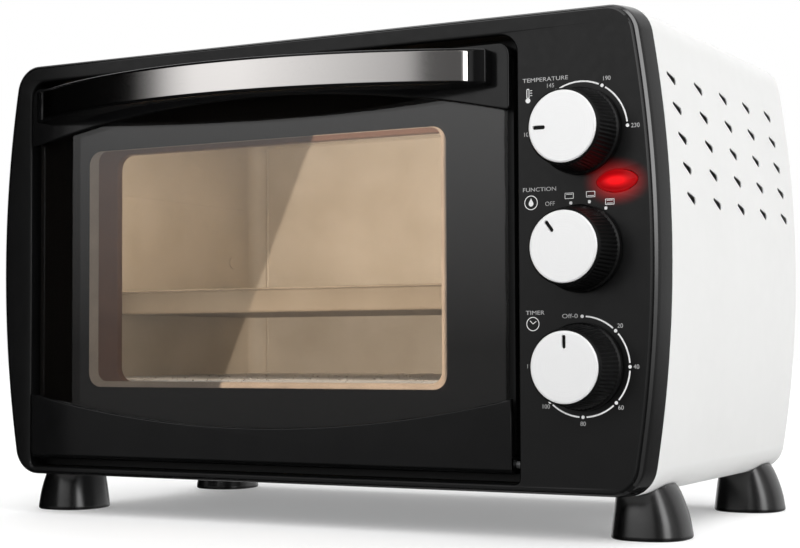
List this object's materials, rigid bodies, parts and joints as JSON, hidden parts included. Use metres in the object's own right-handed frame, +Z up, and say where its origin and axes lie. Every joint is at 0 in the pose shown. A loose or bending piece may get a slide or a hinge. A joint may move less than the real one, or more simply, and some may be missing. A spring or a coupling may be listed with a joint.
{
  "type": "toaster oven",
  "caption": "Countertop toaster oven with a drop-down glass door, bow handle, rotary controls, sliding baking tray and wire rack, and moulded feet.",
  "frame": {"origin": "on the table under the middle of the bounding box", "axes": "+Z up, the door and controls face -Y, the control panel is on the +X side"},
  "size_m": [0.405, 0.2786, 0.2564],
  "materials": {
    "satin_black": "satin moulded black",
    "gloss_black": "glossy black",
    "white_shell": "satin white powder coat",
    "brushed_steel": "brushed along its length",
    "knob_metal": "spun, circular brushing",
    "zinc_steel": "galvanised",
    "fastener_steel": "bright zinc plate",
    "cavity_steel": "aluminised steel, heat tinted",
    "dark_enamel": "gloss enamel",
    "element_steel": "dark oxidised sheath",
    "ceramic": "unglazed ceramic",
    "inner_plastic": "heat resistant moulding",
    "door_glass": "tinted tempered glass",
    "indicator": "translucent red, lit"
  },
  "bodies": {
    "root": {"front_bezel": "satin_black", "outer_shell": "white_shell", "base_plate": "zinc_steel", "rear_panel": "zinc_steel", "cord_gland": "satin_black", "foot_front_left": "gloss_black", "foot_front_right": "gloss_black", "foot_rear_left": "gloss_black", "foot_rear_right": "gloss_black", "foot_screw_front_left": "fastener_steel", "foot_screw_front_right": "fastener_steel", "foot_screw_rear_left": "fastener_steel", "foot_screw_rear_right": "fastener_steel", "rear_screw_top_left": "fastener_steel", "rear_screw_top_right": "fastener_steel", "rear_screw_bottom_left": "fastener_steel", "rear_screw_bottom_right": "fastener_steel", "hinge_bracket_left": "zinc_steel", "hinge_bracket_right": "zinc_steel", "control_bracket": "zinc_steel", "thermostat": "ceramic", "function_switch": "inner_plastic", "timer_unit": "zinc_steel", "indicator_lens": "indicator", "lamp_holder": "inner_plastic", "terminal_block": "inner_plastic", "oven_cavity": "cavity_steel", "upper_element_front": "element_steel", "upper_element_rear": "element_steel", "lower_element_front": "element_steel", "lower_element_rear": "element_steel", "upper_element_holder_left": "ceramic", "upper_element_holder_right": "ceramic", "lower_element_holder_left": "ceramic", "lower_element_holder_right": "ceramic", "rack_guide_left": "cavity_steel", "rack_guide_right": "cavity_steel"},
    "door": {"door_glass": "door_glass", "door_inner_frame": "dark_enamel", "door_top_trim": "gloss_black", "door_bottom_trim": "gloss_black", "handle_grip": "gloss_black", "handle_strip": "brushed_steel", "handle_screw_left": "fastener_steel", "handle_screw_right": "fastener_steel", "hinge_pin_left": "fastener_steel", "hinge_pin_right": "fastener_steel"},
    "temperature_control": {"temperature_knob": "satin_black", "temperature_knob_cap": "knob_metal", "temperature_shaft": "fastener_steel"},
    "function_control": {"function_knob": "satin_black", "function_knob_cap": "knob_metal", "function_shaft": "fastener_steel"},
    "timer_control": {"timer_knob": "satin_black", "timer_knob_cap": "knob_metal", "timer_shaft": "fastener_steel"},
    "rack": {"wire_rack": "fastener_steel"},
    "tray": {"baking_tray": "cavity_steel"}
  },
  "joints": [
    {"name": "door_hinge", "type": "hinge", "parent": "root", "child": "door", "pos_m": [-0.026, -0.08585, 0.036], "axis": [1, 0, 0], "range_deg": [0, 80]},
    {"name": "temperature_turn", "type": "hinge", "parent": "root", "child": "temperature_control", "pos_m": [0.1613, -0.1, 0.196], "axis": [0, 1, 0], "range_deg": [0, 177]},
    {"name": "function_turn", "type": "hinge", "parent": "root", "child": "function_control", "pos_m": [0.1613, -0.1, 0.1399], "axis": [0, 1, 0], "range_deg": [0, 72]},
    {"name": "timer_turn", "type": "hinge", "parent": "root", "child": "timer_control", "pos_m": [0.1613, -0.1, 0.0838], "axis": [0, 1, 0], "range_deg": [0, 270]},
    {"name": "rack_slide", "type": "slide", "parent": "root", "child": "rack", "axis": [0, -1, 0], "range_m": [0, 0.0775]},
    {"name": "tray_slide", "type": "slide", "parent": "root", "child": "tray", "axis": [0, -1, 0], "range_m": [0, 0.119]}
  ],
  "couplings": [
    {"joint": "rack_slide", "follows": "door_hinge", "m_per_rad": 0.055},
    {"joint": "tray_slide", "follows": "door_hinge", "m_per_rad": 0.085}
  ]
}
